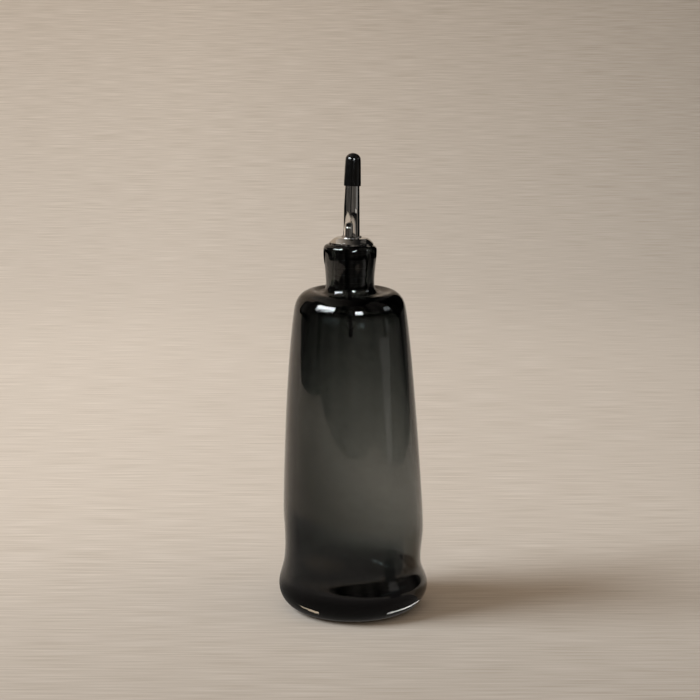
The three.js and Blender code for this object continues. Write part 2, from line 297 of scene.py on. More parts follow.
for corner in bottle.data.vertices:
    outwards = Vector((corner.co.x, corner.co.y, 0))
    if corner.co.z > NECK_ROOT:
        is_outside = eased(outwards.length, BORE_EDGE, LIP_EDGE)
        rounding = max(corner.co.z - LIP_START, 0) / (mouth.z - LIP_START)
        growth = LIP_SWELL * eased(corner.co.z, LIP_FOOT, LIP_START) - LIP_DRAW * rounding
        corner.co += outwards.normalized() * growth * is_outside
        corner.co.y += (corner.co.z - NECK_ROOT) * NECK_LEAN * is_outside
    elif not is_inner(corner):
        turn = math.atan2(corner.co.x, -corner.co.y)
        hollow = bump(turn - HOLLOW_TURN, HOLLOW_SPREAD)
        hollow *= bump(corner.co.z - HOLLOW_HEIGHT, HOLLOW_REACH)
        heel = bump(turn - HEEL_TURN, HEEL_SPREAD)
        heel *= bump(corner.co.z - HEEL_HEIGHT, HEEL_REACH)
        corner.co += outwards.normalized() * (HOLLOW_FILL * hollow + HEEL_FILL * heel)
for corner in bottle.data.vertices:
    outwards = Vector((corner.co.x, corner.co.y, 0))
    if corner.co.z > NECK_ROOT - FOOT_HEIGHT and corner.normal.z > LOOKS_DOWN:
        is_outside = eased(outwards.length, BORE_EDGE, LIP_EDGE)
        at_root = 1 - eased(outwards.length, ROOT_EDGE, ROOT_RIM)
        at_root *= 1 - eased(corner.co.z, ROOT_HEIGHT, ROOT_TOP)
        corner.co.z -= ROOT_DROP * at_root * is_outside
for corner in bottle.data.vertices:
    if corner.co.z > FOOT_HEIGHT:
        wave = noise.noise(corner.co / WAVE_LENGTH)
        corner.co += corner.normal * wave * WAVE_HEIGHT
smooth(bottle)
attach(bottle, "bottle")
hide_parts("glass_bottle")

# %% [markdown]
# ## The moulded and drawn parts
#
# The stopper, the shank under it, the breather tube, the vent and the cap are round parts whose edges a
# tool or a mould has softened. A bevel on the sharp edges gives each rim a small round that catches the
# light, and the subdivision after it rounds the tube itself. The bevel looks only at edges sharper than
# a set angle, so the facets round the tube are left alone.

# %% Round the stopper, the tubes and the cap
SHARP_ANGLE = math.radians(35)
BEVEL_STEPS = 2


def bevel(piece, edge_round, steps, sharp_angle):
    """Rounds the edges of a piece that are sharper than an angle."""
    rims = piece.modifiers.new("soft_rims", "BEVEL")
    rims.width = edge_round
    rims.segments = steps
    rims.limit_method = "ANGLE"
    rims.angle_limit = sharp_angle
    return rims


def soften(piece, edge_round):
    """Bevels the sharp rims of a piece, then smooths it."""
    bevel(piece, edge_round, BEVEL_STEPS, SHARP_ANGLE)
    return smooth(piece)


round_parts = [
    ("stopper", "finned_stopper", "stopper", "stopper_rubber", 0.15 * MM),
    ("shank_tube", "shank_sleeve", "pourer", "tube_steel", 0.15 * MM),
    ("breather_tube", "breather_pipe", "pourer", "tube_steel", 0.08 * MM),
    ("vent_pipe", "slant_vent", "pourer", "polished_steel", 0.12 * MM),
    ("tip_cap", "rubber_cap", "cap", "cap_rubber", 0.2 * MM),
]
pieces = {"blown_bottle": bottle}
for node_name, piece_name, body, slot_name, edge_round in round_parts:
    piece = soften(quad_copy(node_name, piece_name), edge_round)
    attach(piece, body)
    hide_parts(node_name)
    pieces[piece_name] = piece

# %% [markdown]
# The thin breather tube hangs free below the stopper and is never quite straight. Its copy is slanted a
# little, more and more towards its open end.

# %% Slant the breather
BREATHER_SLANT = 0.043

breather_corners = pieces["breather_pipe"].data.vertices
for corner in breather_corners:
    corner.co.x += BREATHER_SLANT * max(-height_of(corner.co), 0)
reach_down = -min(height_of(corner.co) for corner in breather_corners)
print("the breather's end hangs", round(BREATHER_SLANT * reach_down / MM, 1), "mm to the side")

# %% [markdown]
# The cap is stretched a little over the tube, so its rim sits lower than on the plain solid while its
# round end stays where it is.

# %% Draw the cap's rim down
RIM_DROP = 0.9 * MM

cap_corners = pieces["rubber_cap"].data.vertices
cap_heights = [height_of(corner.co) for corner in cap_corners]
cap_foot, cap_top = min(cap_heights), max(cap_heights)
for corner, height in zip(cap_corners, cap_heights):
    share = (cap_top - height) / (cap_top - cap_foot)
    corner.co -= up * RIM_DROP * share**2
print("the cap's rim now sits", round((cap_foot - RIM_DROP) / MM, 1), "mm above the mouth")

# %% [markdown]
# ## Turning a profile
#
# A lathe makes a round part from its outline, and Blender's spin does the same: a chain of points is
# carried round an axis and leaves faces behind it. The next helper spins a profile of radius and
# height pairs about the pourer's axis, or about a line beside it.

# %% Spin a profile


def turned(piece_name, profile, centre, sides, is_closed):
    """Spins a profile of (radius, height) pairs about a line along the pourer's axis."""
    work = bmesh.new()
    corners = [work.verts.new(centre + across * radius + up * height) for radius, height in profile]
    chain = list(zip(corners, corners[1:]))
    if is_closed:
        chain.append((corners[-1], corners[0]))
    for start, end in chain:
        work.edges.new((start, end))
    bmesh.ops.spin(
        work,
        geom=work.verts[:] + work.edges[:],
        cent=centre,
        axis=up,
        angle=2 * math.pi,
        steps=sides,
        use_merge=True,
    )
    bmesh.ops.remove_doubles(work, verts=work.verts, dist=WELD)
    bmesh.ops.recalc_face_normals(work, faces=work.faces)
    piece = new_piece(piece_name, work)
    print(piece_name, "was spun with", len(piece.data.polygons), "faces")
    return piece


# %% [markdown]
# ## The spout
#
# The spout is one drawn steel tube that narrows to its tip. On the real pourer its lower half is
# soldered to the collar at a slight slant and leans to the front, and the upper half is bent straight
# again. The slant hardly shows in the outline, but it decides what a polished tube mirrors: the lower
# half shows the pale table and the upper half the dark room. So the tube is spun straight, and the rings
# below the bend are then slid back, more and more towards the foot.

# %% Spin the spout and slant its lower half
SPOUT_SIDES = 48
SPOUT_STEPS = 21
SPOUT_ROUND = 0.2 * MM
SLANT = math.tan(math.radians(8))
SLANT_BEND = 19 * MM
SLANT_EASE = 3 * MM

foot_ring, bend_ring, tip_ring = rings_of("spout_tube", spout_centre)


def between(start, end, share):
    """The value at a share of the way from the start to the end."""
    return start + (end - start) * share


def spout_radius(height, is_bore):
    """The tube's radius at a height, between the rings that the solid has."""
    lower, upper = (foot_ring, bend_ring) if height < bend_ring[0] else (bend_ring, tip_ring)
    side = 1 if is_bore else 2
    return between(lower[side], upper[side], (height - lower[0]) / (upper[0] - lower[0]))


def slide_back(height):
    """How far the tube's middle lies behind its straight axis, with a soft bend."""
    below = SLANT_BEND - height
    if below > SLANT_EASE:
        return SLANT * below
    if below < -SLANT_EASE:
        return 0
    return SLANT * (below + SLANT_EASE) ** 2 / (4 * SLANT_EASE)


foot, tip = foot_ring[0], tip_ring[0]
heights = [foot + (tip - foot) * step / SPOUT_STEPS for step in range(SPOUT_STEPS + 1)]
outside = [(spout_radius(height, False), height) for height in heights]
inside = [(spout_radius(height, True), height) for height in reversed(heights)]
spout = turned("pouring_spout", outside + inside, spout_centre, SPOUT_SIDES, True)
for corner in spout.data.vertices:
    corner.co -= to_front * slide_back(height_of(corner.co))
soften(spout, SPOUT_ROUND)
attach(spout, "pourer")
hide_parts("spout_tube")
pieces["pouring_spout"] = spout
print("the spout's foot sits", round(slide_back(foot) / MM, 2), "mm further back than its tip")

# %% [markdown]
# ## The collar
#
# The collar is a shallow steel cup that covers the stopper's flange. Its outline is read from the solid,
# with a slope that is slightly crowned, as pressed sheet is, and then spun.

# %% Turn the collar
COLLAR_SIDES = 96
COLLAR_ROUND = 0.3 * MM
COLLAR_STEPS = 3
COLLAR_ANGLE = math.radians(25)
COLLAR_CROWN = 0.4 * MM
COLLAR_BELLY = 0.35 * MM
RIM_CROWN = 0.4 * MM
SHEET = 0.8 * MM

collar_rings = rings_of("collar", mouth)
rim_foot = collar_rings[0][0]
top_height = collar_rings[-1][0] + COLLAR_CROWN
rim_radius = max(ring[2] for ring in collar_rings)
rim_top = max(ring[0] for ring in collar_rings if rim_radius - ring[2] < SHEET / 10) + RIM_CROWN
top_radius = collar_rings[-1][2]
slope_middle = ((rim_radius + top_radius) / 2, (rim_top + top_height) / 2 + COLLAR_BELLY)
collar_outline = [
    (0, top_height - SHEET),
    (top_radius - SHEET / 3, top_height - SHEET),
    (rim_radius - SHEET, rim_top - SHEET / 3),
    (rim_radius - SHEET, rim_foot),
    (rim_radius, rim_foot),
    (rim_radius, rim_top),
    slope_middle,
    (top_radius, top_height),
    (0, top_height),
]
collar = turned("steel_collar", collar_outline, mouth, COLLAR_SIDES, False)

# %% [markdown]
# Two holes are drilled through the collar's top with Boolean modifiers: one under the spout and one for
# the breather tube. The Booleans are applied at once, so that the drills can be thrown away, and a bevel
# then softens every edge.

# %% Drill the collar


def applied(piece):
    """Replaces a piece's mesh by what its modifiers make of it."""
    seen = piece.evaluated_get(bpy.context.evaluated_depsgraph_get())
    mesh = bpy.data.meshes.new_from_object(seen)
    piece.modifiers.clear()
    piece.data = mesh
    return piece


hole_walls = [
    (spout_centre - to_front * slide_back(foot), spout_radius(foot, True)),
    (vent_centre, rings_of("breather_tube", vent_centre)[-1][2] + SHEET / 4),
]
drills = []
for centre, radius in hole_walls:
    low_end = top_height - 2 * SHEET
    high_end = top_height + SHEET
    drill_outline = [(0, low_end), (radius, low_end), (radius, high_end), (0, high_end)]
    drills.append(turned("drill", drill_outline, centre, SPOUT_SIDES, False))
for drill in drills:
    hole = collar.modifiers.new("hole", "BOOLEAN")
    hole.object = drill
    hole.operation = "DIFFERENCE"
applied(collar)
for drill in drills:
    bpy.data.objects.remove(drill)
collar.data.shade_smooth()
bevel(collar, COLLAR_ROUND, COLLAR_STEPS, COLLAR_ANGLE).harden_normals = True
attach(collar, "pourer")
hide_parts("collar")
pieces["steel_collar"] = collar
print("collar", round(2 * rim_radius / MM, 1), "mm across with", len(drills), "holes")

# %% [markdown]
# ## The solder
#
# The spout and the vent are soldered to the collar by hand, and the solder has run together into one
# bright, lumpy bead round both feet. Two rings of uneven thickness are spun, and a voxel remesh fuses
# them into one skin, much as the molten metal did.

# %% Run the solder bead round both feet
BEAD_SIDES = 48
BEAD_STEPS = 12
BEAD_VOXEL = 0.14 * MM
LUMP_LENGTH = 2.2 * MM
LUMP_HEIGHT = 0.45 * MM
BEAD_FLATNESS = 0.75
SPOUT_BEAD = 0.7 * MM
SPOUT_BEAD_GAP = 0.2 * MM
VENT_BEAD = 0.75 * MM
VENT_BEAD_GAP = 0.3 * MM
CALM_ROUNDS = 4

vent_rings = rings_of("vent_pipe", vent_centre)
bead_rings = [
    (hole_walls[0][0], foot_ring[2] + SPOUT_BEAD_GAP, SPOUT_BEAD),
    (vent_centre, vent_rings[0][2] + VENT_BEAD_GAP, VENT_BEAD),
]
bead_work = bmesh.new()
for centre, radius, thickness in bead_rings:
    turns = [2 * math.pi * step / BEAD_STEPS for step in range(BEAD_STEPS)]
    bead_outline = [
        (radius + thickness * math.cos(turn), top_height + thickness * BEAD_FLATNESS * math.sin(turn))
        for turn in turns
    ]
    ring = turned("bead_ring", bead_outline, centre, BEAD_SIDES, True)
    for corner in ring.data.vertices:
        lump = noise.noise(corner.co / LUMP_LENGTH) * LUMP_HEIGHT
        height = height_of(corner.co)
        from_middle = corner.co - centre - up * height
        rounding = from_middle.normalized() * (from_middle.length - radius)
        rounding += up * (height - top_height)
        corner.co += rounding.normalized() * lump
    bead_work.from_mesh(ring.data)
    bpy.data.objects.remove(ring)
bead = new_piece("solder_bead", bead_work)
fuse = bead.modifiers.new("fuse", "REMESH")
fuse.mode = "VOXEL"
fuse.voxel_size = BEAD_VOXEL
calm = bead.modifiers.new("calm", "SMOOTH")
calm.iterations = CALM_ROUNDS
applied(bead)
bead.data.shade_smooth()
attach(bead, "pourer")
pieces["solder_bead"] = bead
print("solder bead has", len(bead.data.polygons), "faces")

# %% [markdown]
# ## Small tools for materials
#
# A material is a tree of nodes, and the helpers below keep the recipes short. One turns a screen colour
# into the linear colour that shaders take, and two place a node and feed it with values and links. The
# next ones place the nodes that come up most: sums, ramps, blends of colour and clouds of noise. The last
# two start a node group, which is an effect that several materials share, and a material.

# %% Helpers for colours and nodes


def linear(red, green, blue):
    """A colour given in screen values from 0 to 255, as the linear colour that shaders take."""
    shares = [value / 255 for value in (red, green, blue)]
    return [(s / 12.92 if s <= 0.04045 else ((s + 0.055) / 1.055) ** 2.4) for s in shares] + [1]


def feed(tree, node, inputs):
    """Sets a node's inputs to values or joins them to other sockets."""
    for key, value in inputs.items():
        if isinstance(value, bpy.types.NodeSocket):
            tree.links.new(value, node.inputs[key])
        else:
            node.inputs[key].default_value = value


def put(tree, kind, inputs, **settings):
    """Places a node with its settings and feeds it."""
    node = tree.nodes.new("ShaderNode" + kind)
    for key, value in settings.items():
        setattr(node, key, value)
    feed(tree, node, inputs)
    return node


def calc(tree, operation, first, second):
    """Works out one number from two."""
    return put(tree, "Math", {0: first, 1: second}, operation=operation).outputs[0]


def ramp(tree, value, span=(0.0, 1.0), result=(0.0, 1.0), curve="LINEAR"):
    """Carries a value from one span of numbers to another, and holds it at both ends."""
    ends = {"From Min": span[0], "From Max": span[1], "To Min": result[0], "To Max": result[1]}
    return put(tree, "MapRange", {"Value": value, **ends}, interpolation_type=curve).outputs[0]


def blend(tree, share, first, second):
    """Blends two colours by a share."""
    return put(tree, "Mix", {0: share, 6: first, 7: second}, data_type="RGBA").outputs[2]


def place_in(tree):
    """The place of each point of the surface."""
    return put(tree, "TexCoord", {}).outputs["Object"]


def split(tree, place):
    """The three numbers of a place, under the names X, Y and Z."""
    return put(tree, "SeparateXYZ", {"Vector": place}).outputs


def stretch(tree, place, scale):
    """Scales a place by its own factor in each direction."""
    return put(tree, "Mapping", {"Vector": place, "Scale": scale}).outputs["Vector"]


def cloud(tree, place, scale, detail, roughness=0.5):
    """A noise between 0 and 1."""
    grain = {"Vector": place, "Scale": scale, "Detail": detail, "Roughness": roughness}
    return put(tree, "TexNoise", grain).outputs["Fac"]


def new_group(group_name, inputs, outputs):
    """Makes an empty node group with named number sockets."""
    tree = bpy.data.node_groups.new(group_name, "ShaderNodeTree")
    for label, value in inputs.items():
        socket = tree.interface.new_socket(label, in_out="INPUT", socket_type="NodeSocketFloat")
        socket.default_value = value
    for label in outputs:
        tree.interface.new_socket(label, in_out="OUTPUT", socket_type="NodeSocketFloat")
    return tree, tree.nodes.new("NodeGroupInput").outputs, tree.nodes.new("NodeGroupOutput").inputs


def new_material(material_name):
    """Makes a material and gives back its tree and its main shader."""
    material = bpy.data.materials.new(material_name)
    material.use_nodes = True
    return material, material.node_tree, material.node_tree.nodes["Principled BSDF"]


# %% [markdown]
# ## Marks from handling
#
# Anything that is used in a kitchen carries faint smears: patches where a cloth or a finger passed. The
# group mixes a broad noise, which says where, with a finer one drawn out sideways, which gives the wipe
# its grain. It puts out one mask, and each material decides what the mask does to its roughness.

# %% Group: handling marks
WIPE_STRETCH = 6.0
WIPE_FINENESS = 5.0
MARK_LEVEL = 0.8
MARK_SOFTNESS = 0.25

marks_group, given, result = new_group("handling_marks", {"Size": 0.02, "Cover": 0.5}, ["Mask"])
place = place_in(marks_group)
patch_scale = calc(marks_group, "DIVIDE", 1.0, given["Size"])
patches = cloud(marks_group, place, patch_scale, 4.0)
stretched = stretch(marks_group, place, (1.0, 1.0, WIPE_STRETCH))
wipe_scale = calc(marks_group, "MULTIPLY", patch_scale, WIPE_FINENESS)
wipes = cloud(marks_group, stretched, wipe_scale, 6.0)
edge = calc(marks_group, "SUBTRACT", MARK_LEVEL, given["Cover"])
edge_end = calc(marks_group, "ADD", edge, MARK_SOFTNESS)
spots = ramp(marks_group, patches, (edge, edge_end), curve="SMOOTHSTEP")
marks_group.links.new(calc(marks_group, "MULTIPLY", spots, wipes), result["Mask"])
print("group", marks_group.name, "has", len(marks_group.nodes), "nodes")


def marks_mask(tree, size, cover):
    """Puts the group into a material, with its own size and cover."""
    return put(tree, "Group", {"Size": size, "Cover": cover}, node_tree=marks_group).outputs["Mask"]


# %% [markdown]
# ## Drawn lines
#
# Steel tube and sheet keep fine lines from drawing and polishing. Noise that is stretched far along the
# tube's length gives such lines. The group takes their width and puts out a height for a bump.

# %% Group: drawn lines
LINE_STRETCH = 0.02
LINE_ROUGHNESS = 0.6

lines_group, given, result = new_group("drawn_lines", {"Width": 0.0002}, ["Height"])
long_lines = stretch(lines_group, place_in(lines_group), (1.0, 1.0, LINE_STRETCH))
line_scale = calc(lines_group, "DIVIDE", 1.0, given["Width"])
lines = cloud(lines_group, long_lines, line_scale, 3.0, LINE_ROUGHNESS)
lines_group.links.new(lines, result["Height"])
print("group", lines_group.name, "has", len(lines_group.nodes), "nodes")

# %% [markdown]
# ## Moulded skin
#
# Rubber takes on the fine texture of its mould and holds dust in it. The group puts out the texture's
# height and a mask for the dust, which lies thicker in patches and on faces that look upwards.

# %% Group: moulded skin
DUST_SCALE = 260.0
DUST_SPAN = (0.45, 0.8)
SHELF_SPAN = (-0.2, 1.0)
SHELF_DUST = (0.25, 1.0)

skin_group, given, result = new_group("moulded_skin", {"Grain": 0.0003}, ["Height", "Dust"])
place = place_in(skin_group)
grain_scale = calc(skin_group, "DIVIDE", 1.0, given["Grain"])
skin_group.links.new(cloud(skin_group, place, grain_scale, 5.0), result["Height"])
facing = put(skin_group, "NewGeometry", {}).outputs["Normal"]
shelf = ramp(skin_group, split(skin_group, facing)["Z"], SHELF_SPAN, SHELF_DUST)
dust = ramp(skin_group, cloud(skin_group, place, DUST_SCALE, 6.0), DUST_SPAN)
skin_group.links.new(calc(skin_group, "MULTIPLY", dust, shelf), result["Dust"])
print("group", skin_group.name, "has", len(skin_group.nodes), "nodes")

# %% [markdown]
# ## Smoked glass
#
# The glass is coloured all through, so its grey comes from a volume that swallows light along the way,
# not from the surface. It takes a little more red than green and blue, which makes the glass cool
# against a warm background. The surface itself is clear and sharp, apart from faint smears.

# %% Material: smoked glass
SMOKE_DENSITY = 385
SMOKE_TINT = (0.03, 0.08, 0.075, 1)
GLASS_IOR = 1.5
GLASS_SMEAR = 0.005
GLASS_MARKS = 30 * MM

glass, tree, shader = new_material("smoked_glass")
smear = ramp(tree, marks_mask(tree, GLASS_MARKS, 0.3), result=(0.0, GLASS_SMEAR))
feed(tree, shader, {"Base Color": (1, 1, 1, 1), "Roughness": smear, "IOR": GLASS_IOR})
feed(tree, shader, {"Transmission Weight": 1.0})
smoke = put(tree, "VolumeAbsorption", {"Color": SMOKE_TINT, "Density": SMOKE_DENSITY})
tree.links.new(smoke.outputs["Volume"], tree.nodes["Material Output"].inputs["Volume"])
print("smoked glass swallows", SMOKE_DENSITY, "per metre")

# %% [markdown]
# ## Steel and solder
#
# Polished steel is almost a mirror, so most of its look comes from what stands round it. The nodes only
# add what a mirror lacks: the fine drawn lines and a few duller smears. The shank and the breather tube
# are left as drawn, with coarser and duller lines, and their dark colour is painted shade, for the shade
# they stand in inside the bottle. The solder is softer metal with a mottled skin.

# %% Materials: polished steel, tube steel and solder
METAL_MARKS = 6 * MM
LINE_RISE = 0.02 * MM
POLISHED = ((0.92, 0.90, 0.87), (0.82, 0.80, 0.76), 0.04, 0.14, 0.25 * MM, 0.04)

# A recipe: bright and dull colour, roughness where clean and where smeared, width and depth of the lines.
metal_recipes = {
    "polished_steel": POLISHED,
    "bored_steel": POLISHED,
    # The tube steel's dark colour is painted shade, for the shade inside the bottle.
    "tube_steel": ((0.20, 0.195, 0.19), (0.13, 0.125, 0.12), 0.22, 0.38, 0.35 * MM, 0.25),
    "solder": ((0.76, 0.75, 0.74), (0.58, 0.57, 0.56), 0.10, 0.30, 0.8 * MM, 0.3),
}
metals = {}
for metal_name, recipe in metal_recipes.items():
    bright, dull, sleek, smeared, line_width, line_depth = recipe
    metal, tree, shader = new_material(metal_name)
    mask = marks_mask(tree, METAL_MARKS, 0.45)
    lines = put(tree, "Group", {"Width": line_width}, node_tree=lines_group).outputs["Height"]
    ridges = put(tree, "Bump", {"Height": lines, "Strength": line_depth, "Distance": LINE_RISE})
    tint = blend(tree, mask, bright + (1,), dull + (1,))
    rough = ramp(tree, mask, result=(sleek, smeared))
    feed(tree, shader, {"Base Color": tint, "Metallic": 1.0, "Roughness": rough})
    feed(tree, shader, {"Normal": ridges.outputs["Normal"]})
    metals[metal_name] = metal
    print(metal_name, "runs from roughness", sleek, "to", smeared)

# %% [markdown]
# The vent is polished outside, but its bore has never seen a polishing wheel and is dull, and its dark
# colour is painted shade, the shade that falls inside the narrow tube. A bore is every place close to the
# vent's axis, so the nodes measure the distance from that axis: the offset from a point on it, crossed
# with its direction, has just that length.

# %% Dull the vent's bore and paint shade into it
# The bore's dark colour is painted shade.
BORE_SHADE_TINT = (0.03, 0.028, 0.025, 1)
BORE_ROUGH = 0.6
BORE_FADE = 0.2 * MM

bored = metals["bored_steel"].node_tree
shader = bored.nodes["Principled BSDF"]
vent_bore = min(ring[1] for ring in vent_rings)
offset = put(bored, "VectorMath", {0: place_in(bored), 1: vent_centre}, operation="SUBTRACT").outputs[0]
sideways = put(bored, "VectorMath", {0: offset, 1: up}, operation="CROSS_PRODUCT").outputs[0]
distance = put(bored, "VectorMath", {0: sideways}, operation="LENGTH").outputs["Value"]
in_bore = ramp(bored, distance, (vent_bore, vent_bore + BORE_FADE), (1.0, 0.0))
polish = shader.inputs["Base Color"].links[0].from_socket
gloss = shader.inputs["Roughness"].links[0].from_socket
bore_rough = put(bored, "Mix", {0: in_bore, 2: gloss, 3: BORE_ROUGH}).outputs[0]
bore_painted_shade = blend(bored, in_bore, polish, BORE_SHADE_TINT)
feed(bored, shader, {"Base Color": bore_painted_shade, "Roughness": bore_rough})
print("the vent's bore is", round(2 * vent_bore / MM, 1), "mm wide")

# %% [markdown]
# ## Black rubber
#
# The stopper and the cap are both black and both moulded, but the stopper is matt and the cap has a
# satin skin that shows small, crisp highlights. One recipe with two sets of values makes both.

# %% Materials: stopper rubber and cap rubber
RUBBER_MARKS = 5 * MM
GRAIN_RISE = 0.05 * MM

# A recipe: black and dusty colour, roughness where clean and where rubbed, size and depth of the grain.
rubber_recipes = {
    "stopper_rubber": ((0.006, 0.006, 0.006), (0.02, 0.019, 0.018), 0.5, 0.7, 0.35 * MM, 0.3),
    "cap_rubber": ((0.004, 0.004, 0.004), (0.016, 0.015, 0.014), 0.09, 0.2, 0.5 * MM, 0.04),
}
rubbers = {}
for rubber_name, recipe in rubber_recipes.items():
    black, dusty, sleek, rubbed, grain_size, grain_depth = recipe
    rubber, tree, shader = new_material(rubber_name)
    skin = put(tree, "Group", {"Grain": grain_size}, node_tree=skin_group).outputs
    pebble = put(tree, "Bump", {"Height": skin["Height"], "Strength": grain_depth, "Distance": GRAIN_RISE})
    tint = blend(tree, skin["Dust"], black + (1,), dusty + (1,))
    rough = ramp(tree, marks_mask(tree, RUBBER_MARKS, 0.4), result=(sleek, rubbed))
    feed(tree, shader, {"Base Color": tint, "Roughness": rough, "Normal": pebble.outputs["Normal"]})
    rubbers[rubber_name] = rubber
    print(rubber_name, "runs from roughness", sleek, "to", rubbed)

# %% [markdown]
# Each piece now gets its one finish. A table of pieces and finishes keeps all these choices in one place,
# so a change of metal or rubber is a change of one word.

# %% Give each piece its finish
finishes = {
    "blown_bottle": glass,
    "finned_stopper": rubbers["stopper_rubber"],
    "shank_sleeve": metals["tube_steel"],
    "breather_pipe": metals["tube_steel"],
    "pouring_spout": metals["polished_steel"],
    "slant_vent": metals["bored_steel"],
    "steel_collar": metals["polished_steel"],
    "solder_bead": metals["solder"],
    "rubber_cap": rubbers["cap_rubber"],
}
for piece_name, material in finishes.items():
    pieces[piece_name].data.materials.clear()
    pieces[piece_name].data.materials.append(material)
print(len(finishes), "pieces have their finish")

# %% [markdown]
# ## The floor
#
# The cruet stands on a plain pale cloth that runs back and then sweeps up behind it, as in a small photo
# studio, so that no edge is in sight. The sweep starts a metre behind the cruet. Its nodes give the cloth
# the sideways slubs of a weave, and painted light in its colour: brighter on the window side and just
# behind the cruet, darker towards the far side, the front and up the sweep, as the window's light falls
# off. The cloth has no gloss, so that it never mirrors the light.

# %% Weave the cloth and paint its light
THREAD_LENGTH = 45 * MM
THREAD_WIDTH = 1.6 * MM
SLUB_SPAN = (0.25, 0.75)
LIGHT_FALLOFF_ACROSS = (-0.2, 0.8)
LIGHT_POOL_SPAN = (-0.25, 0.25)
SWEEP_SHADE_SPAN = (0.6, 1.3)

cloth, tree, shader = new_material("pale_cloth")
parts = split(tree, place_in(tree))
along = calc(tree, "ADD", parts["Y"], parts["Z"])
unrolled = put(tree, "CombineXYZ", {"X": parts["X"], "Y": along}).outputs[0]
drawn_out = stretch(tree, unrolled, (1 / THREAD_LENGTH, 1 / THREAD_WIDTH, 1.0))
weave = ramp(tree, cloud(tree, drawn_out, 1.0, 2.0), SLUB_SPAN)
# Painted light: the colour is brightest on the window side and behind the cruet, and darker to the right,
# at the front and up the sweep.
sideways = ramp(tree, parts["X"], LIGHT_FALLOFF_ACROSS, (1.0, 0.5))
painted_light_pool = ramp(tree, parts["Y"], LIGHT_POOL_SPAN, (0.80, 1.1), "SMOOTHSTEP")
painted_shade_sweep = ramp(tree, parts["Y"], SWEEP_SHADE_SPAN, (1.0, 0.84), "SMOOTHSTEP")
painted_light_falloff = calc(tree, "MULTIPLY", sideways, calc(tree, "MULTIPLY", painted_light_pool, painted_shade_sweep))
thread = blend(tree, weave, linear(198, 184, 168), linear(224, 211, 197))
tint = put(tree, "VectorMath", {0: thread, "Scale": painted_light_falloff}, operation="SCALE").outputs[0]
feed(tree, shader, {"Base Color": tint, "Roughness": 1.0, "Specular IOR Level": 0.0})
print("the cloth's threads are", round(THREAD_WIDTH / MM, 1), "mm wide")

# %% [markdown]
# The cloth itself is a single band of faces, which follows rows of corners from the front to the back and
# up. The same helper later bends the windows and the rings of the stage, so it takes any pairs of corners.

# %% Lay the cloth
CLOTH_REACH = 40
SWEEP_START = 1.0
SWEEP_LEAD = 45 * MM
SWEEP_ROUND = 0.55
SWEEP_STEPS = 24
SWEEP_TOP = 4


def stage_mesh(stage_name, corners, faces, material):
    """Makes an object of the stage from its corners and faces."""
    mesh = bpy.data.meshes.new(stage_name)
    mesh.from_pydata(corners, [], faces)
    mesh.materials.append(material)
    made = bpy.data.objects.new(stage_name, mesh)
    scene.collection.objects.link(made)
    return made


def band(band_name, pairs, material):
    """Makes a band of faces that follows pairs of corners."""
    corners = [corner for pair in pairs for corner in pair]
    faces = [(2 * s, 2 * s + 2, 2 * s + 3, 2 * s + 1) for s in range(len(pairs) - 1)]
    return stage_mesh(band_name, corners, faces, material)


cloth_rows = [(-CLOTH_REACH, 0), (SWEEP_START - SWEEP_LEAD, 0)]
for step in range(SWEEP_STEPS + 1):
    bend = math.pi / 2 * step / SWEEP_STEPS
    cloth_rows.append((SWEEP_START + SWEEP_ROUND * math.sin(bend), SWEEP_ROUND * (1 - math.cos(bend))))
cloth_rows.append((SWEEP_START + SWEEP_ROUND, SWEEP_TOP))
cloth_pairs = [((CLOTH_REACH, back, height), (-CLOTH_REACH, back, height)) for back, height in cloth_rows]
band("floor", cloth_pairs, cloth).data.shade_smooth()
print("the cloth sweeps up", SWEEP_START, "m behind the cruet")

# %% [markdown]
# ## Daylight
#
# Two lights are enough: the room, a warm and even glow from all sides, and a window to the left, a large
# soft lamp. Their strengths add up to one on the floor, so that a colour looks about as it is written.
# The lamp is hidden from mirrors, because the windows that mirrors should see are hung later.

# %% Light the room
ROOM_GLOW = (0.50, 0.44, 0.375, 1)
LAMP_TINT = (0.82, 0.91, 1.0)
LAMP_ENERGY = 2.95
LAMP_SPREAD = math.radians(30)
LAMP_RISE = math.radians(40)
LAMP_FORWARD = math.radians(12)

world = bpy.data.worlds.new("room")
scene.world = world
world.use_nodes = True
world.node_tree.nodes["Background"].inputs["Color"].default_value = ROOM_GLOW

lamp = bpy.data.objects.new("window_lamp", bpy.data.lights.new("window_lamp", "SUN"))
lamp.data.energy = LAMP_ENERGY
lamp.data.color = LAMP_TINT
lamp.data.angle = LAMP_SPREAD
lamp.visible_glossy = False
lamp.visible_transmission = False
level = math.cos(LAMP_RISE)
to_lamp = Vector((-level * math.cos(LAMP_FORWARD), -level * math.sin(LAMP_FORWARD), math.sin(LAMP_RISE)))
lamp.rotation_euler = to_lamp.to_track_quat("Z", "Y").to_euler()
scene.collection.objects.link(lamp)
print("lamp rises", round(math.degrees(LAMP_RISE)), "degrees on the left")

# %% [markdown]
# ## What the glass and steel mirror
#
# Glass and steel need something to mirror, or they look grey. A photographer stands black cards round
# the table, and the glossy surfaces then show a dark room with clear edges. These cards are seen by
# mirror rays only: they cast no shadow, take no light away and stay out of every picture. The helpers make
# a material that glows in mirrors alone, change it, and make a card whose other rays are switched off.

# %% Helpers for the cards


